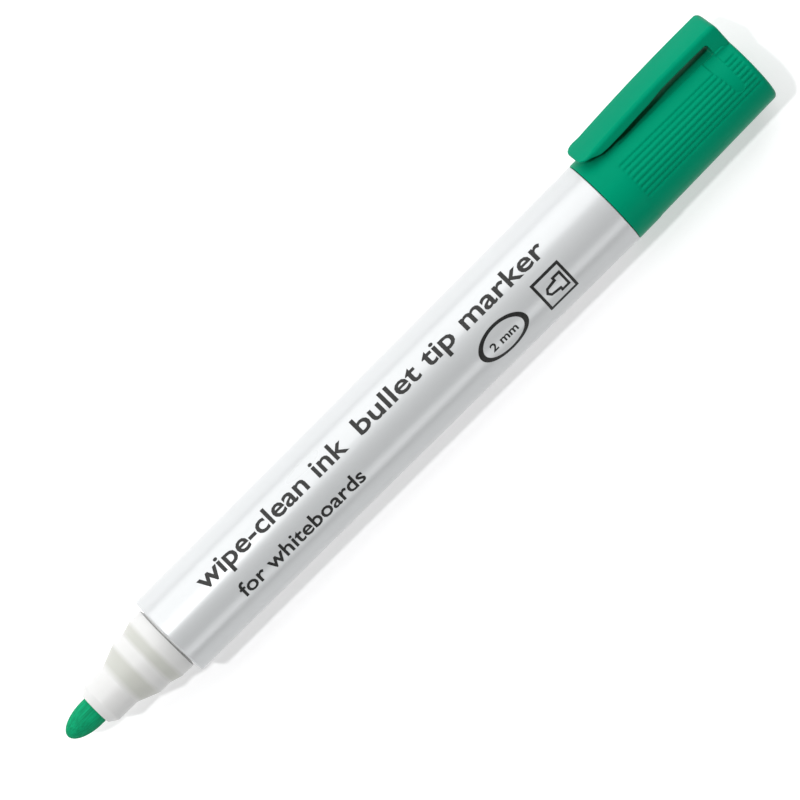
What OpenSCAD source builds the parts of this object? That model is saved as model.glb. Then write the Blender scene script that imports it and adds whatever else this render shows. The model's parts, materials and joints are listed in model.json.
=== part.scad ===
// Whiteboard marker with a bullet nib, lying on its side with its cap pushed onto the tail.
// The pen's axis is the X axis: the nib points to -X, the cap is at +X, and Z is up.
// x = 0 is the shoulder at the front of the barrel, where the cap stops when it covers the nib.

/* [Barrel] */
// Length of the barrel, from its front shoulder to its rear rim
barrel_l = 98.1; // [85:0.1:110]
// Outer diameter at the front shoulder
barrel_front_d = 15.2; // [14.8:0.1:15.8]
// Outer diameter at the rear rim, which is also the cap's diameter at its mouth
barrel_rear_d = 16.1; // [16:0.1:16.6]
// Diameter of the barrel's bore
barrel_bore_d = 13.2; // [13.2:0.1:13.4]
// Chamfer on the barrel's outer edges
barrel_edge = 0.3; // [0.1:0.05:0.5]

/* [Front section] */
// How far the front section stands out of the barrel
nose_l = 16.5; // [15:0.1:18]
// Diameter of the neck that the cap closes on
neck_d = 12.1; // [12:0.05:12.2]
// Length of the neck and its groove, in front of the shoulder
neck_l = 2.9; // [2.5:0.1:3.2]
// Width of the groove between the neck and the shoulder
neck_groove_w = 0.4; // [0.2:0.1:0.6]
// Diameter of the middle step
step_d = 10.8; // [10.4:0.1:11.2]
// Diameter of the narrow tube that holds the nib
tube_d = 7.8; // [7.4:0.1:8.2]
// How far the front section reaches into the barrel
nose_plug_l = 9; // [7:0.5:9]

/* [Nib] */
// Diameter of the nib
nib_d = 4.9; // [4.5:0.1:5]
// How far the nib stands out of the front section
nib_out = 6.2; // [5.8:0.1:7]
// Length of the nib's rounded point
nib_point_l = 5.4; // [4.5:0.1:5.6]

/* [Tail plug] */
// Length of the tail that the cap is pushed onto
tail_l = 8; // [6:0.1:8]
// How far the plug reaches into the barrel
tail_plug_l = 6.6; // [5:0.1:6.8]

/* [Cap] */
// Length of the cap
cap_l = 31.7; // [31:0.1:34]
// Diameter of the cap behind the clip's nub, where the grip ribs start
cap_grip_d = 15.8; // [15.6:0.1:15.9]
// Diameter of the cap at its closed end
cap_end_d = 14.7; // [14.5:0.1:15]
// Width of the smooth band at the mouth
cap_band_w = 4.7; // [4:0.1:5]
// Radius on the edge of the closed end
cap_edge = 0.8; // [0.4:0.1:1]
// Free gap on the radius between the seal and the neck or tail
seal_gap = 0.03; // [0.02:0.01:0.08]
// Depth of the seal's hollow, from the cap's mouth
seal_depth = 24.2; // [24:0.1:25]

/* [Clip] */
// Width of the clip
clip_w = 7; // [6:0.1:7.4]
// Direction of the clip around the axis, counted from straight up towards +Y
clip_turn = 60; // [0:5:90]
// Height of the clip's outer face over the axis, at its root
clip_root_h = 11.08; // [11:0.02:11.4]
// How much lower the outer face is at the tip
clip_drop = 1.15; // [0.8:0.05:1.2]
// Thickness of the clip at its root
clip_t = 1.6; // [1.4:0.1:1.6]
// Distance from the cap's mouth to the clip's tip
clip_tip_in = 1; // [0.8:0.1:1.5]
// Length of the block that joins the clip to the cap
clip_root_l = 3.1; // [2.8:0.1:3.2]

/* [Grip ribs] */
// Grooves in the panel on each side of the clip
rib_grooves = 8; // [4:1:8]
// Angle from one groove to the next
rib_pitch = 7.1; // [6.5:0.1:7.2]
// Angle from the clip to the first groove
rib_first = 43; // [42:0.5:46]
// Depth of a groove
rib_depth = 0.25; // [0.1:0.05:0.3]

/* [Hidden] */
$fn = 96;

// Small gap between pieces of one body that sit inside each other
seat = 0.02;
// Overlap that lets a cutter pass clean through a face
over = 0.5;

bore_r = barrel_bore_d / 2;
plug_r = bore_r - seat;
neck_r = neck_d / 2;
tube_r = tube_d / 2;
step_r = step_d / 2;
nib_r = nib_d / 2;

// Places along the front section, counted from the shoulder towards the nib
nose_front = -nose_l;
tube_back = -nose_l + 5.5;
step_front = -7.2;
step_back = -5;
neck_front = -neck_l;
groove_front = -neck_groove_w;
groove_r = neck_r - 0.3;
tube_edge = 1;
tube_edge_l = 1.5;
// Nib holder inside the front section, and the wider hollow behind it
holder_back = -6;
hollow_r = 4.4;

// Nib: its tip, the start of its pointed rear end and that end
nib_tip = -nose_l - nib_out;
nib_rear = 14;
nib_taper_l = 4;
nib_end_r = 0.8;

// Reservoir and its film sleeve
res_front = nose_plug_l + 0.6;
res_back = barrel_l - tail_plug_l - 1.4;
res_r = 6.1;
wrap_t = 0.25;

// Tail plug
tail_end = barrel_l + tail_l;
tail_wall = 1.2;
tail_edge = 0.6;
tail_hollow_r = 4.9;

// Cap: the mouth stands just clear of the barrel's rear rim
mouth = barrel_l + 0.1;
cap_end = mouth + cap_l;
mouth_r = barrel_rear_d / 2;
grip_r = cap_grip_d / 2;
end_r = cap_end_d / 2;
band_step = 0.25;
end_wall = 1.4;
seal_seat_r = neck_r + seal_gap;
seal_seat_l = 9;
seal_taper_l = 3;
seal_out_r = 6.88;
seal_back_r = 5.7;
seal_wall = 0.9;
seal_front = 0.4;
// How far behind the liner's seat the cap's inner wall steps in
liner_shoulder = 1.1;
// Slope of the cap's outer wall, in degrees
draft = atan((grip_r - end_r) / (cap_l - cap_band_w));

// Clip: its tip, its hinge line and the nub that presses on the cap
clip_tip = mouth + clip_tip_in;
hinge_x = cap_end - clip_root_l;
hinge_h = clip_root_h - clip_t / 2;
hinge_r = clip_t / 2;
hinge_gap = 0.05;
nub_x = mouth + 6;
nub_h = grip_r + 0.3;
clip_reach = hinge_x - clip_tip;
tip_t = 0.5;
tip_corner = 1.3;
root_edge = 1.1;

// Recess on each side of the cap, in front of the clip's root: its width, place along the
// axis, floor radius and angles from the clip
recess_w = 2.7;
recess_x = hinge_x - recess_w;
recess_r = end_r - 0.25;
recess_from = 20;
recess_to = 74;

// Points of a circular arc about [cr, cx]
function arc(cr, cx, r, from, to, steps = 6) =
    [for (i = [0 : steps]) let (a = from + (to - from) * i / steps)
        [cr + r * cos(a), cx + r * sin(a)]];

// Height of the clip's outer face at a place along the axis: a parabola, level at the root
function clip_top(x) = clip_root_h - clip_drop * pow((hinge_x - x) / clip_reach, 2);

// Solid of revolution about the X axis, from points [radius, x]
module turned(points) {
    rotate([0, 90, 0])
        rotate_extrude()
            polygon(points);
}

// Slab as wide as the clip, from points [x, height] in the clip's middle plane
module clip_slab(points) {
    rotate([90, 0, 0])
        linear_extrude(height = clip_w, center = true)
            polygon(points);
}

// Cylinder on the clip's hinge line
module hinge_round(r, width) {
    translate([hinge_x, 0, hinge_h])
        rotate([90, 0, 0])
            cylinder(h = width, r = r, center = true);
}

module barrel() {
    front_r = barrel_front_d / 2;
    color("silver")
        turned([
            [bore_r, 0],
            [front_r - barrel_edge, 0],
            [front_r, barrel_edge],
            [mouth_r, barrel_l - barrel_edge / 2],
            [mouth_r - barrel_edge / 2, barrel_l],
            [bore_r, barrel_l]
        ]);
}

module front_section() {
    color("whitesmoke")
        turned([
            [nib_r + seat, nose_front],
            [tube_r - tube_edge, nose_front],
            [tube_r, nose_front + tube_edge_l],
            [tube_r, tube_back],
            [step_r, step_front],
            [step_r, step_back],
            [neck_r, neck_front],
            [neck_r, groove_front],
            [groove_r, groove_front],
            [groove_r, 0],
            [plug_r, 0],
            [plug_r, nose_plug_l],
            [hollow_r, nose_plug_l],
            [hollow_r, holder_back],
            [nib_r + seat, holder_back]
        ]);
}

// Bullet nib of bonded fibre: a half ellipse in front, a pointed end in the reservoir
module nib() {
    point_back = nib_tip + nib_point_l;
    bullet = [for (a = [0 : 9 : 90])
        [nib_r * sin(a), point_back - nib_point_l * cos(a)]];
    color("seagreen")
        turned(concat(bullet, [
            [nib_r, nib_rear - nib_taper_l],
            [nib_end_r, nib_rear],
            [0, nib_rear]
        ]));
}

// Fibre core that holds the ink, with a pocket for the nib's pointed end
module reservoir() {
    pocket_r = nib_r + seat;
    color("mediumseagreen")
        turned([
            [pocket_r, res_front],
            [res_r, res_front],
            [res_r, res_back],
            [0, res_back],
            [0, nib_rear + seat],
            [nib_end_r + seat, nib_rear + seat],
            [pocket_r, nib_rear - nib_taper_l + seat]
        ]);
}

// Film sleeve around the fibre core
module reservoir_wrap() {
    inner = res_r + seat;
    color("gainsboro")
        turned([
            [inner, res_front],
            [inner + wrap_t, res_front],
            [inner + wrap_t, res_back],
            [inner, res_back]
        ]);
}

// Plug that closes the barrel's rear; its tail takes the cap
module end_plug() {
    plug_front = barrel_l - tail_plug_l;
    color("seagreen")
        turned([
            [tail_hollow_r, plug_front],
            [plug_r, plug_front],
            [plug_r, barrel_l],
            [neck_r, barrel_l],
            [neck_r, tail_end - tail_edge],
            [neck_r - tail_edge, tail_end],
            [0, tail_end],
            [0, tail_end - tail_wall],
            [tail_hollow_r, tail_end - tail_wall]
        ]);
}

// Outer wall of the cap, closed at its end
module cap_wall() {
    inner_mouth_r = seal_out_r + seat;
    inner_step = mouth + seal_seat_l + liner_shoulder;
    inner_end = cap_end - end_wall;
    turned(concat(
        [
            [inner_mouth_r, mouth],
            [mouth_r, mouth],
            [mouth_r - 0.07, mouth + cap_band_w],
            [grip_r, mouth + cap_band_w + band_step]
        ],
        arc(end_r - cap_edge, cap_end - cap_edge, cap_edge, 0, 90),
        [
            [0, cap_end],
            [0, inner_end],
            [end_r - 1.25, inner_end],
            [inner_mouth_r - 0.3, inner_step],
            [inner_mouth_r, inner_step]
        ]
    ));
}

// Square bars laid edge-down along the grip panels, which cut the V grooves between the ribs
module rib_cutters() {
    side = rib_depth * sqrt(2);
    start = mouth + cap_band_w + band_step - 0.1;
    length = cap_end - cap_edge - 0.2 - start;
    for (flip = [-1, 1], i = [0 : rib_grooves - 1])
        rotate([flip * (rib_first + i * rib_pitch), 0, 0])
            translate([start, 0, grip_r])
                rotate([0, draft, 0])
                    rotate([45, 0, 0])
                        translate([0, -side / 2, -side / 2])
                            cube([length, side, side]);
}

// Smooth recess on each side of the clip, between the grip ribs and the closed end:
// a ring sector with a narrower round end
module recess_cutters() {
    round_r = recess_w / 2 - 0.2;
    for (start = [180 - recess_to, 180 + recess_from])
        rotate([0, 90, 0])
            rotate([0, 0, start])
                rotate_extrude(angle = recess_to - recess_from)
                    translate([recess_r, recess_x])
                        square([grip_r, recess_w]);
    for (flip = [-1, 1])
        rotate([flip * recess_to, 0, 0])
            translate([recess_x + recess_w / 2, 0, recess_r])
                cylinder(h = grip_r, r = round_r);
}

// Block at the closed end that carries the clip's hinge line
module root_block() {
    foot_h = grip_r - 1.5;
    difference() {
        clip_slab([
            [hinge_x, foot_h],
            [hinge_x, clip_root_h],
            [cap_end - root_edge, clip_root_h],
            [cap_end, clip_root_h - root_edge],
            [cap_end, foot_h - 0.6],
            [cap_end - end_wall + 0.2, foot_h - 0.6],
            [cap_end - end_wall + 0.2, foot_h]
        ]);
        hinge_round(hinge_r + hinge_gap, clip_w + 2 * over);
    }
}

module cap_shell() {
    color("seagreen")
        rotate([-clip_turn, 0, 0]) {
            difference() {
                cap_wall();
                rib_cutters();
                recess_cutters();
            }
            root_block();
        }
}

// Soft liner pressed into the cap: it seals on the neck, or holds on the tail
module inner_cap() {
    back = mouth + seal_depth;
    bore_back_r = seal_back_r - seal_wall;
    taper = mouth + seal_seat_l;
    color("mediumaquamarine")
        turned([
            [seal_seat_r + 0.3, mouth + seal_front],
            [seal_out_r, mouth + seal_front],
            [seal_out_r, taper],
            [seal_back_r + 0.2, taper + seal_taper_l],
            [seal_back_r, back + seal_wall],
            [0, back + seal_wall],
            [0, back],
            [bore_back_r, back],
            [bore_back_r + 0.2, taper + seal_taper_l],
            [seal_seat_r, taper],
            [seal_seat_r, mouth + seal_front + 0.3]
        ]);
}

// Clip in profile: the crowned outer face from root to tip, then the underside with its nub
module clip() {
    steps = 8;
    crown = [for (i = [0 : steps]) let (x = hinge_x - clip_reach * i / steps)
        [x, clip_top(x)]];
    under = [
        [clip_tip, clip_top(clip_tip) - tip_t],
        [nub_x - 1.7, nub_h],
        [nub_x + 0.8, nub_h],
        [nub_x + 1.8, nub_h + 0.3],
        [nub_x + 5.8, nub_h + 0.45],
        [nub_x + 12.5, hinge_h - clip_t / 2],
        [hinge_x, hinge_h - clip_t / 2]
    ];
    // Seen from above the clip is a plain bar with its tip corners cut
    plan = [
        [clip_tip, clip_w / 2 - tip_corner],
        [clip_tip + tip_corner, clip_w / 2],
        [cap_end, clip_w / 2],
        [cap_end, -clip_w / 2],
        [clip_tip + tip_corner, -clip_w / 2],
        [clip_tip, -clip_w / 2 + tip_corner]
    ];
    color("seagreen")
        rotate([-clip_turn, 0, 0])
            intersection() {
                union() {
                    clip_slab(concat(crown, under));
                    hinge_round(hinge_r, clip_w);
                }
                linear_extrude(height = 2 * clip_root_h)
                    polygon(plan);
            }
}

barrel();
end_plug();
reservoir();
reservoir_wrap();
front_section();
nib();
cap_shell();
inner_cap();
clip();
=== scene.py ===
import json
import math

import bmesh
import bpy
from mathutils import Matrix, Vector


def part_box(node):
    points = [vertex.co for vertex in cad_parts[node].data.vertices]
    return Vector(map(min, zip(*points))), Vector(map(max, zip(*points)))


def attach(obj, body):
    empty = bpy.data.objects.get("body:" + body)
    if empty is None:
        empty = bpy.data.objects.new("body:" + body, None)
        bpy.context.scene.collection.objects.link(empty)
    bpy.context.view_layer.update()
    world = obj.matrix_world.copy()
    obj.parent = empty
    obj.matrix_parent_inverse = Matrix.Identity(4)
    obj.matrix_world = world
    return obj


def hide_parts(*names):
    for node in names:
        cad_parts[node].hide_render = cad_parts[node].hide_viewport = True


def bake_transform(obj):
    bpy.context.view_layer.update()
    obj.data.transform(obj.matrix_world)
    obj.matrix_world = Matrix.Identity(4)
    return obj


# Lengths are in millimetres, and MM turns them into Blender's metres.
MM = 0.001
FULL_TURN = 2 * math.pi

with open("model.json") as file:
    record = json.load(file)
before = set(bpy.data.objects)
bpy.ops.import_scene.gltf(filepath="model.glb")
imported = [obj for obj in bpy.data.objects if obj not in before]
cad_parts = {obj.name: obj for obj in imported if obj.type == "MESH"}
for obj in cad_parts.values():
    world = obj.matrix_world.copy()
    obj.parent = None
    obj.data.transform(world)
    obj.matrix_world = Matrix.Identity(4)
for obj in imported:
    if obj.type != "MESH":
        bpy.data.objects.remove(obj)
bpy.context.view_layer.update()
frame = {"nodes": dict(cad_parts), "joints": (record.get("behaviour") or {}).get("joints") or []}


# ---------------------------------------------------------------- places taken from the frame

def ends(node):
    """Where a CAD node starts and stops along the pen."""
    low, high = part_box(node)
    return low.x / MM, high.x / MM


def widest(node):
    """The largest radius of a CAD node about the pen's axis."""
    return max(math.hypot(v.co.y, v.co.z) for v in frame["nodes"][node].data.vertices) / MM


BARREL_FRONT, BARREL_BACK = ends("barrel")
NOSE_FRONT, NOSE_BACK = ends("front_section")
NIB_TIP, NIB_REAR = ends("nib")
PLUG_FRONT, TAIL_END = ends("end_plug")
MOUTH, CAP_END = ends("cap_shell")
LINER_FRONT, LINER_BACK = ends("inner_cap")
CLIP_TIP = ends("clip")[0]
REAR_R = widest("barrel")
PLUG_R = widest("front_section")
NIB_R = widest("nib")
LINER_R = widest("inner_cap")
HINGE = next(j for j in frame["joints"] if j["name"] == "clip_flex")["pos_m"]
HINGE_X = HINGE[0] / MM
CLIP_TURN = math.atan2(HINGE[1], HINGE[2])

# The barrel is a slender cone.
FRONT_R = 7.6
BORE_R = 6.6


def barrel_radius(x):
    """Outer radius of the barrel at a place along the pen."""
    return FRONT_R + (REAR_R - FRONT_R) * (x - BARREL_FRONT) / (BARREL_BACK - BARREL_FRONT)


# ---------------------------------------------------------------- mesh helpers

def around(x, r, turn):
    """A point at radius r, turned from straight up towards +Y, in metres."""
    return Vector((x, r * math.sin(turn), r * math.cos(turn))) * MM


def smooth(t):
    """0 below 0, 1 above 1, and a smooth rise between."""
    t = min(max(t, 0.0), 1.0)
    return t * t * (3 - 2 * t)


def spread(start, stop, count):
    """Evenly spaced values from start to stop, both included."""
    return [start + (stop - start) * k / count for k in range(count + 1)]


FILLET_STEPS = 5


def rounded(corners):
    """Closed outline from corners (x, radius, fillet). Each fillet is an arc that touches both sides."""
    points = []
    for i, (x, r, fillet) in enumerate(corners):
        corner = Vector((x, r))
        if not fillet:
            points.append((x, r))
            continue
        back = (Vector(corners[i - 1][:2]) - corner).normalized()
        on = (Vector(corners[(i + 1) % len(corners)][:2]) - corner).normalized()
        half = back.angle(on) / 2
        centre = corner + (back + on).normalized() * fillet / math.sin(half)
        first = corner + back * fillet / math.tan(half) - centre
        last = corner + on * fillet / math.tan(half) - centre
        start = math.atan2(first.y, first.x)
        sweep = (math.atan2(last.y, last.x) - start + math.pi) % FULL_TURN - math.pi
        for a in spread(start, start + sweep, FILLET_STEPS):
            points.append((centre.x + fillet * math.cos(a), centre.y + fillet * math.sin(a)))
    return points


def finish_mesh(bm, name, sharp_angle=32):
    """Turns a bmesh into an object with outward normals, smooth faces and sharp edges where it bends."""
    bmesh.ops.recalc_face_normals(bm, faces=bm.faces)
    mesh = bpy.data.meshes.new(name)
    bm.to_mesh(mesh)
    bm.free()
    mesh.shade_smooth()
    mesh.set_sharp_from_angle(angle=math.radians(sharp_angle))
    piece = bpy.data.objects.new(name, mesh)
    bpy.context.scene.collection.objects.link(piece)
    return piece


def skin(bm, rings, closed=True):
    """Joins rings of vertices in turn. A ring of one vertex is a pole on the axis."""
    count = max(len(ring) for ring in rings)
    pairs = list(zip(rings, rings[1:]))
    if closed:
        pairs.append((rings[-1], rings[0]))
    for a, b in pairs:
        if len(a) == 1 and len(b) == 1:
            continue
        for k in range(count):
            corners = [a[k % len(a)], a[(k + 1) % len(a)], b[(k + 1) % len(b)], b[k % len(b)]]
            bm.faces.new(list(dict.fromkeys(corners)))


def turned(name, outline, turns=None, relief=None, sharp_angle=32):
    """Solid of revolution from a closed outline of (x, radius). relief(x, radius, turn) moves a point."""
    turns = turns or spread(0, FULL_TURN, 180)[:-1]
    relief = relief or (lambda x, r, turn: r)
    bm = bmesh.new()
    rings = []
    for x, r in outline:
        if r == 0:
            rings.append([bm.verts.new((x * MM, 0, 0))])
        else:
            rings.append([bm.verts.new(around(x, relief(x, r, turn), turn)) for turn in turns])
    skin(bm, rings)
    return finish_mesh(bm, name, sharp_angle)


# ---------------------------------------------------------------- pieces of the pen

def make_barrel():
    """The barrel: a tube with a rounded front rim and a finer rear rim."""
    front_edge, rear_edge, bore_edge = 0.35, 0.2, 0.1
    return turned("barrel_tube", rounded([
        (BARREL_FRONT, BORE_R, bore_edge),
        (BARREL_FRONT, FRONT_R, front_edge),
        (BARREL_BACK, REAR_R, rear_edge),
        (BARREL_BACK, BORE_R, bore_edge),
    ]))


# Radii of the front section: its tube, its middle step, the neck and the groove behind the neck.
NOSE_TUBE_R = 3.9
NOSE_STEP_R = 5.4
NECK_R = 6.05
GROOVE_R = 5.5


def make_nose():
    """Stepped nose: a tube that holds the nib, two cones, and the neck that the cap seals on."""
    hole_r = NIB_R + 0.02
    face_r = 2.95
    hollow_r = 4.4
    tube_front = NOSE_FRONT + 1.5
    tube_back = -11.0
    step_front, step_back = -7.2, -5.0
    neck_front, neck_back = -2.9, -0.4
    holder_back = -6.0
    return turned("nose_body", rounded([
        (NOSE_FRONT, hole_r, 0.08),
        (NOSE_FRONT, face_r, 0.2),
        (tube_front, NOSE_TUBE_R, 0.6),
        (tube_back, NOSE_TUBE_R, 0.8),
        (step_front, NOSE_STEP_R, 0.5),
        (step_back, NOSE_STEP_R, 0.5),
        (neck_front, NECK_R, 0.3),
        (neck_back, NECK_R, 0.12),
        (neck_back, GROOVE_R, 0.05),
        (BARREL_FRONT, GROOVE_R, 0),
        (BARREL_FRONT, PLUG_R, 0),
        (NOSE_BACK, PLUG_R, 0.3),
        (NOSE_BACK, hollow_r, 0.3),
        (holder_back, hollow_r, 0.3),
        (holder_back, hole_r, 0),
    ]))


def make_nib():
    """Bullet nib: half an ellipse, a straight shank and a tapered rear end, with the fibres' fine ridges."""
    point_l = 5.4
    taper_l = 4
    rear_r = 0.8
    ridge_depth = 0.012
    bullet = [
        (NIB_TIP + point_l * (1 - math.cos(a)), NIB_R * math.sin(a))
        for a in spread(0, math.pi / 2, 22)
    ]
    bullet[0] = (NIB_TIP, 0)
    shank = [(x, NIB_R) for x in spread(NIB_TIP + point_l, NIB_REAR - taper_l, 20)[1:]]

    def fibres(x, r, turn):
        """Two sets of ridges, 37 and 61 around the nib. The second one wavers along it."""
        ridge = math.sin(37 * turn) * 0.55 + math.sin(61 * turn + 1.3 * math.sin(x)) * 0.45
        return r - ridge_depth * (1 + ridge) * min(r / 1.5, 1)

    return turned("nib_tip", bullet + shank + [(NIB_REAR, rear_r), (NIB_REAR, 0)],
                  spread(0, FULL_TURN, 360)[:-1], fibres, sharp_angle=50)


def make_tail_plug():
    """Plug in the barrel's rear, with the narrower tail that the cap is pushed onto."""
    hollow_r = 4.9
    wall = 1.2
    return turned("tail_plug", rounded([
        (PLUG_FRONT, hollow_r, 0.3),
        (PLUG_FRONT, PLUG_R, 0.3),
        (BARREL_BACK, PLUG_R, 0),
        (BARREL_BACK, NECK_R, 0),
        (TAIL_END, NECK_R, 0.7),
        (TAIL_END, 0, 0),
        (TAIL_END - wall, 0, 0),
        (TAIL_END - wall, hollow_r, 0.4),
    ]))


# ---------------------------------------------------------------- pieces of the cap

# The smooth band at the mouth, then the tapered grip, then the rounded edge of the closed end.
BAND_W = 4.7
BAND_BACK = MOUTH + BAND_W
BAND_TAPER = 0.07
GRIP_R = 7.9
END_R = 7.35
END_EDGE = 0.8
END_WALL = 1.4
# Grooves between the grip ribs. Angles are measured from the middle of the clip.
RIBS = 8
RIB_PITCH = math.radians(7.1)
RIB_FIRST = math.radians(43)
RIB_DEPTH = 0.2
RIB_FRONT = BAND_BACK + 0.25
# The clip and its nub. Heights are measured from the pen's axis.
CLIP_W = 7.0
CLIP_TOP = 11.08
CLIP_TOP_EDGE = 0.7
CLIP_UNDER_EDGE = 0.25
NUB_X = MOUTH + 6
ROOT_FILLET = 0.7
# The smooth recess in front of the clip's root, and the shallow trough under the clip.
RECESS_W = 2.74
RECESS_R = 7.25
RECESS_TIP = math.radians(84)
TROUGH_FRONT = NUB_X + 2
TROUGH_EDGE = math.radians(22)
TROUGH_R = 7.08


def cap_turns():
    """Angles around the cap: fine over the rib panels and beside the clip's root, coarser elsewhere."""
    half = (
        spread(0, 16, 6)[:-1]
        + spread(16, 34, 30)[:-1]
        + spread(34, 38.5, 4)[:-1]
        + spread(38.5, 98.9, 110)[:-1]
        + spread(98.9, 180, 36)
    )
    left = [-a for a in reversed(half[1:-1])]
    return [CLIP_TURN + math.radians(a) for a in left + half]


def rib_groove(x, from_clip):
    """Depth of the grooves between the grip ribs, at an angle from the clip."""
    step = (from_clip - RIB_FIRST) / RIB_PITCH
    if not -0.5 < step < RIBS - 0.5:
        return 0.0
    narrowness = 1.6
    front_slope, back_slope = 0.6, 0.9
    back = CAP_END - 0.45
    across = 0.5 + 0.5 * math.cos(FULL_TURN * step)
    along = smooth((x - RIB_FRONT) / front_slope) * smooth((back - x) / back_slope)
    return RIB_DEPTH * across ** narrowness * along


def recess(x, from_clip):
    """0 outside the recess in front of the clip's root, 1 on its floor. It is a tongue with a round tip."""
    front_slope, back_slope = 0.3, 0.12
    back = HINGE_X + 0.04
    # The tongue gets 0.6 mm narrower between 30 and 70 degrees from the clip.
    narrowing = 0.6 * smooth((from_clip - math.radians(30)) / math.radians(40))
    front = back - RECESS_W + narrowing
    half_w = (back - front) / 2
    tip = GRIP_R * (RECESS_TIP - from_clip)
    if tip < 0:
        return 0.0
    if tip < half_w:
        half_w = math.sqrt(max(half_w ** 2 - (half_w - tip) ** 2, 0))
    middle = (back + front) / 2
    return smooth((x - middle + half_w) / front_slope) * smooth((middle + half_w - x) / back_slope)


def trough(x, from_clip):
    """0 outside the shallow trough under the clip, 1 on its floor. It starts behind the clip's nub."""
    front_slope, side_slope = 1.5, math.radians(2.5)
    return smooth((x - TROUGH_FRONT) / front_slope) * smooth((TROUGH_EDGE - from_clip) / side_slope)


def cap_relief(x, r, turn):
    """Outer skin of the cap with its ribs, recess, trough and the fillet around the clip's root."""
    inside = r < LINER_R + 0.1
    if inside:
        return r
    from_clip = abs((turn - CLIP_TURN + math.pi) % FULL_TURN - math.pi)
    sunk = recess(x, from_clip)
    r_here = (r - rib_groove(x, from_clip)) * (1 - sunk) + min(RECESS_R, r) * sunk
    if x < HINGE_X + 0.1:
        hollow = trough(x, from_clip)
        r_here = r_here * (1 - hollow) + min(TROUGH_R, r) * hollow
    aside = max(abs(r * math.sin(from_clip)) - CLIP_W / 2, 0)
    ahead = max(HINGE_X - x, 0)
    away = math.hypot(aside, ahead)
    if from_clip < math.pi / 2 and away < ROOT_FILLET:
        # The fillet fades out before the rounded edge of the closed end.
        fade_l = 1.2
        rise = ROOT_FILLET - math.sqrt(ROOT_FILLET ** 2 - (ROOT_FILLET - away) ** 2)
        r_here += rise * smooth((CAP_END - END_EDGE / 2 - x) / fade_l)
    return r_here


def cap_places():
    """Places along the cap where its skin needs points: fine at the band's step and around the recess."""
    return (
        spread(MOUTH + 0.3, BAND_BACK - 0.15, 6)
        + spread(BAND_BACK - 0.08, BAND_BACK + 0.25, 6)
        + spread(BAND_BACK + 0.33, BAND_BACK + 1.0, 6)
        + spread(BAND_BACK + 1.6, HINGE_X - 3.4, 14)
        + spread(HINGE_X - 3.2, HINGE_X + 0.16, 42)
        + spread(HINGE_X + 0.3, CAP_END - END_EDGE - 0.1, 12)
    )


def cap_skin_radius(x):
    """Radius of the cap's outer skin before ribs and recesses."""
    band_r = REAR_R - BAND_TAPER * (x - MOUTH) / BAND_W
    grip = GRIP_R + (END_R - GRIP_R) * (x - BAND_BACK) / (CAP_END - BAND_BACK)
    step_front, step_l = BAND_BACK - 0.3, 0.9
    step = smooth((x - step_front) / step_l)
    return band_r * (1 - step) + grip * step


def make_cap():
    """The cap's shell: outer skin, closed end with a shallow dish, and the bore for the liner."""
    mouth_edge = 0.16
    mouth_chamfer = 0.25
    end_chamfer = 0.5
    end_bore_r = END_R - 1.25
    bore_r = LINER_R + 0.02
    shoulder = MOUTH + 10.1
    inner_end = CAP_END - END_WALL
    lip = [
        (MOUTH + mouth_edge * (1 - math.cos(a)), REAR_R - mouth_edge * (1 - math.sin(a)))
        for a in spread(0, math.pi / 2, 4)
    ]
    outer = [(x, cap_skin_radius(x)) for x in cap_places()]
    edge_r = cap_skin_radius(CAP_END - END_EDGE) - END_EDGE
    edge = [
        (CAP_END - END_EDGE * (1 - math.sin(a)), edge_r + END_EDGE * math.cos(a))
        for a in spread(0, math.pi / 2, 9)
    ]
    # The dish is a flat floor inside a sloping rim. Its inner ring keeps the faces at the middle small.
    dish_x = CAP_END - 0.15
    dish = rounded([
        (CAP_END, 5.6, 0),
        (dish_x, 5.2, 0.3),
        (dish_x, 2.2, 0),
    ])
    inner = [
        (inner_end, 0),
        (inner_end, end_bore_r - 0.45),
        (inner_end - end_chamfer, end_bore_r),
        (shoulder, bore_r - 0.3),
        (shoulder, bore_r),
        (MOUTH + mouth_chamfer, bore_r),
        (MOUTH, bore_r + 0.2),
    ]
    outline = lip + outer + edge + dish + [(dish_x, 0)] + inner
    return turned("cap_body", outline, cap_turns(), cap_relief)


def make_liner():
    """Soft liner inside the cap, with the lip that seals on the neck."""
    seat_back = MOUTH + 9
    taper_back = seat_back + 3
    bore = NECK_R + 0.03
    wall = 0.9
    back_r = 5.7
    return turned("cap_liner", rounded([
        (LINER_FRONT, bore + 0.35, 0.1),
        (LINER_FRONT, LINER_R, 0.1),
        (seat_back, LINER_R, 0),
        (taper_back, back_r + 0.2, 0),
        (LINER_BACK, back_r, 0.5),
        (LINER_BACK, 0, 0),
        (LINER_BACK - wall, 0, 0),
        (LINER_BACK - wall, back_r - wall, 0.6),
        (taper_back, back_r - wall + 0.2, 0.5),
        (seat_back, bore, 0.4),
        (LINER_FRONT + 0.35, bore, 0.15),
    ]))


# ---------------------------------------------------------------- clip

# Directions out from the pen's axis through the middle of the clip, and across the clip.
CLIP_OUT = Vector((0, math.sin(CLIP_TURN), math.cos(CLIP_TURN)))
CLIP_ACROSS = Vector((0, math.cos(CLIP_TURN), -math.sin(CLIP_TURN)))
TIP_ROUND = 1.8
# The clip's underside as (x, height): it dips to the nub and rises again towards the root.
CLIP_UNDER = [
    (CLIP_TIP, 9.7),
    (CLIP_TIP + 1.6, 9.42),
    (NUB_X - 1.4, 8.62),
    (NUB_X, 8.5),
    (NUB_X + 2, 8.56),
    (NUB_X + 8.8, 8.9),
    (NUB_X + 12.8, 9.3),
    (NUB_X + 16, 9.34),
    (HINGE_X, 9.3),
]
NUB_BOTTOM = 8.15


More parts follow.
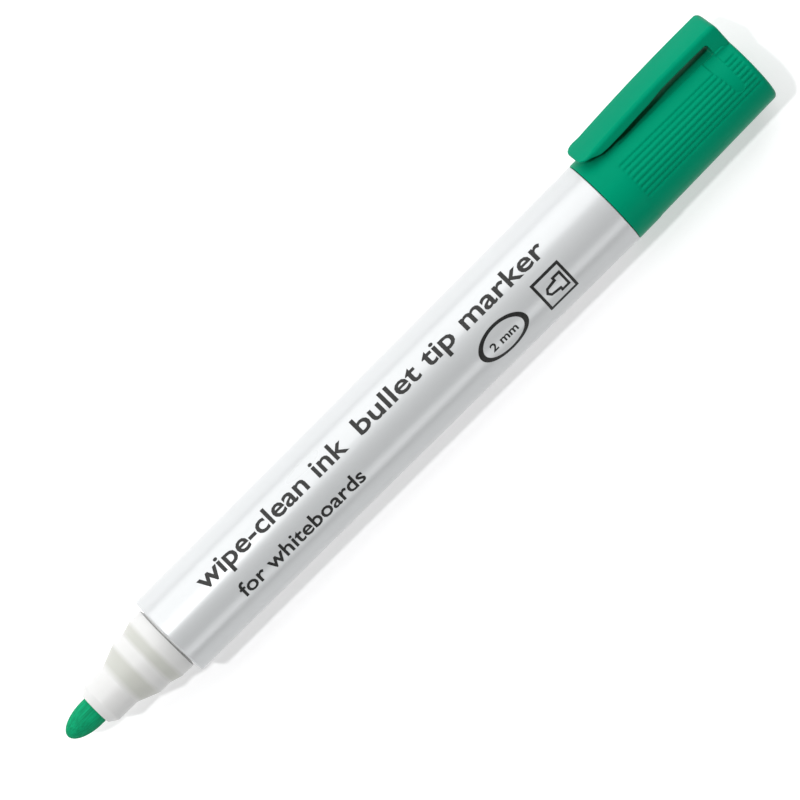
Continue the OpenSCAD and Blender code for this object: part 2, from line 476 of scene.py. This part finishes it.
def clip_top(x):
    """Height of the clip's outer face: a parabola, level at the root."""
    drop = 1.15
    away = max(HINGE_X - x, 0) / (HINGE_X - CLIP_TIP)
    return CLIP_TOP - drop * away ** 2


def between(points, x):
    """Height on a smooth curve through points (x, height)."""
    for (x0, h0), (x1, h1) in zip(points, points[1:]):
        if x <= x1:
            t = max(x - x0, 0) / (x1 - x0)
            return h0 + (h1 - h0) * (smooth(t) + t) / 2
    return points[-1][1]


def clip_section(half_w, bottom, top):
    """Rounded cross-section of the clip, as points (across, height). Every section has as many points."""
    most = min(half_w, (top - bottom) / 2) * 0.96
    up, down = min(CLIP_TOP_EDGE, most), min(CLIP_UNDER_EDGE, most)
    corners = (
        (1, top - up, up, 0),
        (-1, top - up, up, 90),
        (-1, bottom + down, down, 180),
        (1, bottom + down, down, 270),
    )
    return [
        (side * (half_w - edge) + edge * math.cos(a), centre + edge * math.sin(a))
        for side, centre, edge, start in corners
        for a in spread(math.radians(start), math.radians(start + 90), 6)
    ]


def clip_stations():
    """Sections along the clip from its tip to the cap's closed end: (x, half width, bottom, top)."""
    half_w = CLIP_W / 2
    foot = 6.45
    tip_edge, tip_edge_l = 0.25, 0.3
    stations = []
    for a in spread(0, math.pi / 2, 8):
        x = CLIP_TIP + TIP_ROUND * (1 - math.cos(a))
        width = half_w - TIP_ROUND * (1 - math.sin(a))
        inset = tip_edge * max(1 - (x - CLIP_TIP) / tip_edge_l, 0) ** 2
        stations.append((x, width, between(CLIP_UNDER, x) + 0.3 * inset, clip_top(x) - inset))
    for x in spread(CLIP_TIP + TIP_ROUND + 0.5, HINGE_X - 0.6, 56):
        stations.append((x, half_w, between(CLIP_UNDER, x), clip_top(x)))
    under = CLIP_UNDER[-1][1]
    corner = 0.55
    for a in spread(0, math.pi / 2, 5):
        x = HINGE_X - corner * (1 - math.sin(a))
        stations.append((x, half_w, under - corner * (1 - math.cos(a)), clip_top(x)))
    stations.append((HINGE_X + 0.06, half_w, foot, CLIP_TOP))
    end_edge = 1.1
    side_edge = 0.7
    end = CAP_END - 0.04
    for x in spread(HINGE_X + 0.6, end - end_edge - 0.3, 3):
        stations.append((x, half_w, foot, CLIP_TOP))
    for a in spread(0, math.radians(84), 9):
        x = end - end_edge * (1 - math.sin(a))
        inset = side_edge - math.sqrt(side_edge ** 2 - max(side_edge - end + x, 0) ** 2)
        stations.append((x, half_w - inset, foot, CLIP_TOP - end_edge * (1 - math.cos(a))))
    return stations


def clip_point(x, across, height):
    """A point of the clip, in metres."""
    return (Vector((x, 0, 0)) + CLIP_ACROSS * across + CLIP_OUT * height) * MM


def lofted(name, sections, sharp_angle):
    """Closed solid through sections that have as many points each."""
    bm = bmesh.new()
    rings = [[bm.verts.new(point) for point in section] for section in sections]
    skin(bm, rings, closed=False)
    bm.faces.new(rings[0])
    bm.faces.new(rings[-1])
    return finish_mesh(bm, name, sharp_angle)


def make_clip():
    """The clip and the block that joins it to the cap, as one moulding."""
    return lofted("clip_bar", [
        [clip_point(x, across, height) for across, height in clip_section(half_w, bottom, top)]
        for x, half_w, bottom, top in clip_stations()
    ], sharp_angle=38)


def make_nub():
    """Small rounded bump under the clip, which presses on the cap or on what the clip holds."""
    half_l, half_w, inside = 1.5, 2.7, 0.4
    least_depth = 0.02
    top = between(CLIP_UNDER, NUB_X) + inside
    drop = top - NUB_BOTTOM
    sections = []
    for side in spread(-1, 1, 16):
        depth = drop * max(1 - abs(side) ** 4, 0) ** 0.5 + least_depth
        sections.append([
            clip_point(NUB_X + half_l * math.cos(a), half_w * side, top - depth * math.sin(a))
            for a in spread(0, math.pi, 14)
        ])
    return lofted("clip_nub", sections, sharp_angle=50)


# ---------------------------------------------------------------- imprint

# Half the film's thickness, and the width of the strips that it is cut into to follow the barrel.
INK_LIFT = 0.012
INK_STEP = 0.3
# Height of capitals in Blender's own font at size 1.
FONT_CAPITAL = 0.729


def wrap_print(name, flat, x0, turn0):
    """Lays a flat mesh on the barrel as a thin closed film. x0 and turn0 say where its origin goes."""
    bm = bmesh.new()
    bm.from_mesh(flat)
    bmesh.ops.remove_doubles(bm, verts=bm.verts, dist=1e-4)
    low = min(v.co.y for v in bm.verts)
    high = max(v.co.y for v in bm.verts)
    for k in range(1, int((high - low) / INK_STEP) + 1):
        geometry = list(bm.verts) + list(bm.edges) + list(bm.faces)
        bmesh.ops.bisect_plane(bm, geom=geometry, dist=1e-5,
                               plane_co=(0, low + k * INK_STEP, 0), plane_no=(0, 1, 0))
    top = list(bm.faces)
    lifted = {v for f in top for v in f.verts}
    below = bmesh.ops.duplicate(bm, geom=list(bm.verts) + list(bm.edges) + top)["vert_map"]
    rims = [e for e in bm.edges if e.is_boundary and e.verts[0] in lifted]
    for e in rims:
        a, b = e.verts
        bm.faces.new([a, b, below[b], below[a]])
    for v in bm.verts:
        x = x0 + v.co.x
        lift = INK_LIFT if v in lifted else -INK_LIFT
        middle = barrel_radius(x)
        v.co = around(x, middle + lift, turn0 + v.co.y / middle)
    return finish_mesh(bm, name)


def flat_text(words, height, length, weight):
    """Flat mesh of words, with capitals of this height and a line of this length. weight adds to strokes."""
    curve = bpy.data.curves.new("words", "FONT")
    curve.body = words
    curve.size = 1.0
    curve.resolution_u = 3
    text = bpy.data.objects.new("words", curve)
    bpy.context.scene.collection.objects.link(text)
    curve.offset = weight * FONT_CAPITAL / height
    bpy.context.view_layer.update()
    mesh = bpy.data.meshes.new_from_object(text.evaluated_get(bpy.context.evaluated_depsgraph_get()))
    bpy.data.objects.remove(text)
    bpy.data.curves.remove(curve)
    left = min(v.co.x for v in mesh.vertices)
    right = max(v.co.x for v in mesh.vertices)
    for v in mesh.vertices:
        v.co = ((v.co.x - left) * length / (right - left), v.co.y * height / FONT_CAPITAL, 0)
    return mesh


def flat_loops(outer, inner):
    """Flat band between two loops with as many points each."""
    bm = bmesh.new()
    rings = [[bm.verts.new((x, y, 0)) for x, y in loop] for loop in (outer, inner)]
    skin(bm, rings, closed=False)
    mesh = bpy.data.meshes.new("band")
    bm.to_mesh(mesh)
    bm.free()
    return mesh


def oval(half_l, half_h):
    """Points on an ellipse."""
    return [(half_l * math.cos(a), half_h * math.sin(a)) for a in spread(0, FULL_TURN, 72)[:-1]]


def box_loop(half):
    """Points along a square, a few on each side."""
    corners = [(-half, -half), (half, -half), (half, half), (-half, half)]
    return [
        (a[0] + (b[0] - a[0]) * k / 4, a[1] + (b[1] - a[1]) * k / 4)
        for a, b in zip(corners, corners[1:] + corners[:1])
        for k in range(4)
    ]


def mirrored(half):
    """A closed outline from its upper half, which starts on the mirror line."""
    return half + [(x, -y) for x, y in reversed(half[1:])]


def make_prints():
    """Generic wording and marks: what kind of marker it is, its ink and its line width."""
    upper = math.radians(7.0)
    lower = math.radians(-34.3)
    middle = math.radians(-29.5)
    ring_x, ring_l, ring_h = 71.3, 5.1, 2.95
    ring_side_w, ring_top_w = 0.95, 0.55
    box_x, box_h = 82.8, 3.05
    box_line_w = 0.5
    ring = flat_loops(oval(ring_l, ring_h), oval(ring_l - ring_side_w, ring_h - ring_top_w))
    box = flat_loops(box_loop(box_h), box_loop(box_h - box_line_w))
    nib_mark = flat_loops(
        mirrored([(-2.0, 0.0), (-1.4, 0.85), (0.3, 1.1), (0.3, 1.6), (2.2, 1.6)]),
        mirrored([(-1.45, 0.0), (-1.15, 0.42), (0.75, 0.65), (0.75, 1.15), (1.75, 1.15)]),
    )
    kind = flat_text("wipe-clean ink", height=3.3, length=32.2, weight=0.08)
    tip = flat_text("bullet tip marker", height=3.3, length=41.4, weight=0.08)
    use = flat_text("for whiteboards", height=2.7, length=27.0, weight=0.06)
    width_h, width_l = 1.5, 5.6
    width = flat_text("2 mm", width_h, width_l, weight=0.05)
    return [
        wrap_print("print_kind", kind, x0=9.3, turn0=upper),
        wrap_print("print_tip", tip, x0=44.3, turn0=upper),
        wrap_print("print_use", use, x0=13.2, turn0=lower),
        wrap_print("print_ring", ring, ring_x, middle),
        wrap_print("print_width", width, ring_x - width_l / 2, middle - width_h / 2 / REAR_R),
        wrap_print("print_box", box, box_x, middle),
        wrap_print("print_nib_mark", nib_mark, box_x, middle),
    ]


# ---------------------------------------------------------------- materials

def srgb(*levels):
    """Linear colour from 0-255 screen levels."""
    return tuple(
        c / 12.92 if c <= 0.04045 else ((c + 0.055) / 1.055) ** 2.4
        for c in (level / 255 for level in levels)
    ) + (1.0,)


class Shader:
    """A Principled material and short ways to add nodes to it."""

    def __init__(self, name, roughness=0.4, metallic=0.0, specular=0.5):
        self.material = bpy.data.materials.new(name)
        self.material.use_nodes = True
        self.nodes = self.material.node_tree.nodes
        self.link = self.material.node_tree.links.new
        self.main = self.nodes["Principled BSDF"]
        self.main.inputs["Roughness"].default_value = roughness
        self.main.inputs["Metallic"].default_value = metallic
        self.main.inputs["Specular IOR Level"].default_value = specular
        self.position = self.nodes.new("ShaderNodeTexCoord").outputs["Object"]

    def noise(self, scale, detail, stretch=(1, 1, 1)):
        """Noise with features of about 1/scale metres, stretched along the pen if asked."""
        mapping = self.nodes.new("ShaderNodeMapping")
        mapping.inputs["Scale"].default_value = stretch
        noise = self.nodes.new("ShaderNodeTexNoise")
        noise.inputs["Scale"].default_value = scale
        noise.inputs["Detail"].default_value = detail
        self.link(self.position, mapping.inputs["Vector"])
        self.link(mapping.outputs["Vector"], noise.inputs["Vector"])
        return noise.outputs["Fac"]

    def ramp(self, value, stops):
        """Colour ramp with stops (position, colour)."""
        node = self.nodes.new("ShaderNodeValToRGB")
        elements = node.color_ramp.elements
        while len(elements) < len(stops):
            elements.new(0.5)
        for element, (position, colour) in zip(elements, stops):
            element.position = position
            element.color = colour
        self.link(value, node.inputs["Fac"])
        return node.outputs["Color"]

    def span(self, value, low, high, to_low, to_high):
        """Maps a value from one range to another."""
        node = self.nodes.new("ShaderNodeMapRange")
        for name, number in zip(("From Min", "From Max", "To Min", "To Max"), (low, high, to_low, to_high)):
            node.inputs[name].default_value = number
        self.link(value, node.inputs["Value"])
        return node.outputs["Result"]

    def along(self, start, stop):
        """0 to 1 along the pen between two places in millimetres."""
        split = self.nodes.new("ShaderNodeSeparateXYZ")
        self.link(self.position, split.inputs["Vector"])
        return self.span(split.outputs["X"], start * MM, stop * MM, 0, 1)

    def colour(self, output):
        """Colour from a node's output."""
        self.link(output, self.main.inputs["Base Color"])

    def two_tone(self, value, dark, light):
        """Colour that drifts between two tones with a noise value."""
        self.colour(self.ramp(value, [(0.3, dark), (0.7, light)]))

    def rough(self, value, low, high):
        """Roughness between two levels, by a noise value."""
        self.link(self.span(value, 0, 1, low, high), self.main.inputs["Roughness"])

    def bump(self, value, depth):
        """Surface relief of a given depth in metres."""
        node = self.nodes.new("ShaderNodeBump")
        node.inputs["Distance"].default_value = depth
        self.link(value, node.inputs["Height"])
        self.link(node.outputs["Normal"], self.main.inputs["Normal"])


def tint(colour, factor):
    """The same colour, lighter or darker."""
    return tuple(min(c * factor, 1) for c in colour[:3]) + (1.0,)


def pearl_silver():
    """Barrel: silver-grey plastic, its tone and gloss drifting faintly along it."""
    s = Shader("pearl_silver", metallic=0.2, specular=0.35)
    s.two_tone(s.noise(70, 1, (0.3, 1, 1)), srgb(191, 193, 194), srgb(195, 197, 198))
    s.rough(s.noise(60, 1, (0.3, 1, 1)), 0.25, 0.32)
    return s.material


def cap_green():
    """Cap, clip and tail: moulded green with a faint flow pattern.

    The specular level is very low, or the white floor would show in the slot under the clip.
    """
    green = srgb(0, 131, 97)
    s = Shader("cap_green", specular=0.02)
    s.main.inputs["Specular Tint"].default_value = (0.6, 0.9, 1.0, 1)
    s.two_tone(s.noise(120, 4, (0.35, 1, 1)), tint(green, 0.93), tint(green, 1.06))
    s.rough(s.noise(500, 2), 0.28, 0.38)
    s.bump(s.noise(1100, 2), 3e-6)
    return s.material


def natural_plastic():
    """Front section: milky plastic. Its two cones are darker and faintly warmer: painted shade for faces
    that catch less light, with a slight warm tint.
    """
    s = Shader("natural_plastic", roughness=0.35, specular=0.25)
    milk, cone_shade_and_tint = srgb(200, 200, 199), srgb(178, 179, 173)
    # The darker bands over the two cones are painted shade, with a faint warm tint.
    s.colour(s.ramp(s.along(NOSE_FRONT, BARREL_FRONT), [
        (0.0, milk), (0.33, milk), (0.40, cone_shade_and_tint), (0.53, cone_shade_and_tint),
        (0.58, milk), (0.68, milk), (0.73, cone_shade_and_tint), (0.80, cone_shade_and_tint), (0.85, milk),
    ]))
    s.main.inputs["Subsurface Weight"].default_value = 0.15
    s.main.inputs["Subsurface Radius"].default_value = (1.0, 1.0, 0.95)
    s.main.inputs["Subsurface Scale"].default_value = 0.0012
    s.bump(s.noise(900, 2), 3e-6)
    return s.material


def ink_fibre(name, colour):
    """Bonded fibre soaked with ink: fine strands along the pen."""
    s = Shader(name, roughness=0.75, specular=0.1)
    strands = s.noise(5200, 4, (0.06, 1, 1))
    s.colour(s.ramp(strands, [(0.32, tint(colour, 0.72)), (0.68, tint(colour, 1.18))]))
    s.bump(strands, 3e-5)
    return s.material


def soft_seal():
    """Liner: pale green soft plastic."""
    s = Shader("soft_seal", specular=0.4)
    s.two_tone(s.noise(300, 3), srgb(96, 186, 160), srgb(116, 200, 176))
    s.rough(s.noise(1200, 3), 0.42, 0.55)
    return s.material


def clear_film():
    """Sleeve around the fibre core."""
    s = Shader("clear_film", roughness=0.25)
    s.two_tone(s.noise(200, 2), srgb(214, 218, 218), srgb(228, 231, 231))
    return s.material


def print_ink():
    """Screen-printed black, slightly uneven."""
    s = Shader("print_ink", specular=0.3)
    s.two_tone(s.noise(2500, 3), srgb(18, 18, 18), srgb(34, 34, 33))
    s.rough(s.noise(1800, 3), 0.4, 0.6)
    return s.material


# ---------------------------------------------------------------- put the pieces on their bodies

def dress(piece, material):
    """Gives a piece its material."""
    piece.data.materials.clear()
    piece.data.materials.append(material)
    return piece


def place(piece, body, node, material):
    """A piece that stands for a CAD node and moves with its body."""
    dress(piece, material)
    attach(piece, body)
    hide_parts(node)


green = cap_green()
place(make_barrel(), "pen", "barrel", pearl_silver())
place(make_nose(), "pen", "front_section", natural_plastic())
place(make_nib(), "pen", "nib", ink_fibre("nib_fibre", srgb(2, 136, 92)))
place(make_tail_plug(), "pen", "end_plug", green)
place(make_cap(), "cap", "cap_shell", green)
place(make_liner(), "cap", "inner_cap", soft_seal())

ink = print_ink()
for film in make_prints():
    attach(dress(film, ink), "pen")

clip_piece = dress(make_clip(), green)
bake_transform(clip_piece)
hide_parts("clip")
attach(dress(make_nub(), green), "clip")

dress(frame["nodes"]["reservoir"], ink_fibre("core_fibre", srgb(30, 140, 104)))
dress(frame["nodes"]["reservoir_wrap"], clear_film())


# ---------------------------------------------------------------- floor, lights and camera

def make_floor():
    """White floor that the barrel's rear rim rests on. It glows a little, like a lit table."""
    glow = 0.475
    half = 3000 * MM
    bm = bmesh.new()
    height = -REAR_R * MM
    bm.faces.new([bm.verts.new((x, y, height)) for x, y in
                  ((-half, -half), (half, -half), (half, half), (-half, half))])
    mesh = bpy.data.meshes.new("floor")
    bm.to_mesh(mesh)
    bm.free()
    floor = bpy.data.objects.new("floor", mesh)
    bpy.context.scene.collection.objects.link(floor)
    s = Shader("floor_white", roughness=0.9, specular=0.0)
    s.two_tone(s.noise(3, 2), (0.59, 0.59, 0.595, 1), (0.61, 0.61, 0.615, 1))
    s.main.inputs["Emission Color"].default_value = (1, 1, 1, 1)
    s.main.inputs["Emission Strength"].default_value = glow
    dress(floor, s.material)


# The lights are aimed at the middle of the pen. This place and the lights' sizes are in metres.
MIDDLE = Vector((0.053, 0, 0))


def softbox(name, tilt, depth, power):
    """Long area light over the pen. tilt is its angle from straight up towards +Y, in degrees."""
    distance = 1.0
    light = bpy.data.lights.new(name, "AREA")
    light.shape = "RECTANGLE"
    light.size = 2.4
    light.size_y = depth
    light.energy = power
    lamp = bpy.data.objects.new(name, light)
    out = Vector((0, math.sin(math.radians(tilt)), math.cos(math.radians(tilt))))
    side = Vector((1, 0, 0))
    turn = Matrix((side, out.cross(side), out)).transposed()
    lamp.matrix_world = Matrix.Translation(MIDDLE + out * distance) @ turn.to_4x4()
    lamp.visible_camera = False
    bpy.context.scene.collection.objects.link(lamp)


def make_sun(direction, strength, soft):
    """Distant light from a direction. soft is its apparent size in degrees, which blurs shadows."""
    light = bpy.data.lights.new("sun", "SUN")
    light.energy = strength
    light.angle = math.radians(soft)
    lamp = bpy.data.objects.new("sun", light)
    lamp.matrix_world = Vector(direction).to_track_quat("Z", "Y").to_matrix().to_4x4()
    bpy.context.scene.collection.objects.link(lamp)


def make_world(level):
    """Even, faintly cool light from everywhere."""
    world = bpy.data.worlds.new("studio")
    world.use_nodes = True
    background = world.node_tree.nodes["Background"]
    background.inputs["Color"].default_value = (0.98, 0.99, 1.0, 1)
    background.inputs["Strength"].default_value = level
    bpy.context.scene.world = world


def make_camera():
    """Camera of the photograph: almost straight above, with the pen along the frame's diagonal."""
    side = 0.68
    aim = Vector((52.7, side, 0))
    eye = Vector((37.6, side, 1000.0))
    lean = math.radians(44.86)
    back = (eye - aim).normalized()
    up = Vector((math.sin(lean), math.cos(lean), 0))
    right = up.cross(back).normalized()
    turn = Matrix((right, back.cross(right), back)).transposed()
    data = bpy.data.cameras.new("camera")
    data.lens = 281.9
    data.sensor_width = 36
    data.clip_end = 20
    camera = bpy.data.objects.new("camera", data)
    camera.matrix_world = Matrix.Translation(eye * MM) @ turn.to_4x4()
    bpy.context.scene.collection.objects.link(camera)
    bpy.context.scene.camera = camera


make_floor()
make_world(0.06)
softbox("key", tilt=49, depth=1.15, power=20.5)
softbox("fill", tilt=-65, depth=0.35, power=5.6)
make_sun(direction=(-0.34, 0.235, 1.0), strength=1.6, soft=3.5)
make_camera()
bpy.context.scene.view_settings.view_transform = "Standard"
